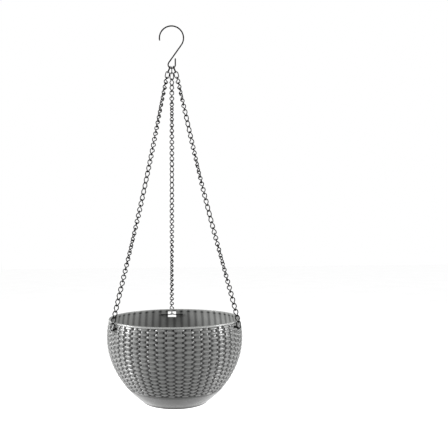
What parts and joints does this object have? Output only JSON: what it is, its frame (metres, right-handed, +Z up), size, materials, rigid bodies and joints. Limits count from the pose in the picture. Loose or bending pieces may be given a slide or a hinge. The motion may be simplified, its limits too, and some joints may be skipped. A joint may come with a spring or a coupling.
{
  "type": "hanging basket",
  "caption": "Round bowl of moulded plastic weave hung from a wire hook by three link chains on wire toggles, with a drained inner liner and a cotton wick.",
  "frame": {"origin": "inside top of the hook's crown, on the wire's inner face, where it bears on a bar or bracket", "axes": "+Z up along the line of hang, the hook's plane is X-Z, +X towards the hook's shank side and -Y towards the front"},
  "size_m": [0.2539, 0.2598, 0.7067],
  "materials": {
    "black_steel": "black coated steel wire, satin, worn slightly brighter where links bear on each other",
    "woven_plastic": "mid-grey satin polypropylene, moulded as a plain weave outside and smooth ribs inside",
    "liner_plastic": "black matt polypropylene with a fine grain",
    "cotton": "white twisted cotton rope, soft and fibrous"
  },
  "bodies": {
    "hook": {"hook": "black_steel"},
    "top_links": {"top_link_left": "black_steel", "top_link_back": "black_steel", "top_link_right": "black_steel"},
    "cradle": {"chain_left_upper": "black_steel", "chain_left_middle": "black_steel", "chain_left_lower": "black_steel", "chain_back_upper": "black_steel", "chain_back_middle": "black_steel", "chain_back_lower": "black_steel", "chain_right_upper": "black_steel", "chain_right_middle": "black_steel", "chain_right_lower": "black_steel", "end_link_left": "black_steel", "end_link_back": "black_steel", "end_link_right": "black_steel", "toggle_left": "black_steel", "toggle_back": "black_steel", "toggle_right": "black_steel", "outer_pot": "woven_plastic"},
    "liner": {"liner": "liner_plastic", "wick": "cotton"}
  },
  "joints": [
    {"name": "side_sway", "type": "hinge", "parent": "hook", "child": "top_links", "pos_m": [0, 0, -0.0719], "axis": [0, 1, 0], "range_deg": [-20, 20]},
    {"name": "front_sway", "type": "hinge", "parent": "top_links", "child": "cradle", "pos_m": [0, 0, -0.0856], "axis": [1, 0, 0], "range_deg": [-30, 30]},
    {"name": "liner_lift", "type": "slide", "parent": "cradle", "child": "liner", "axis": [0, 0, 1], "range_m": [0, 0.06]}
  ]
}
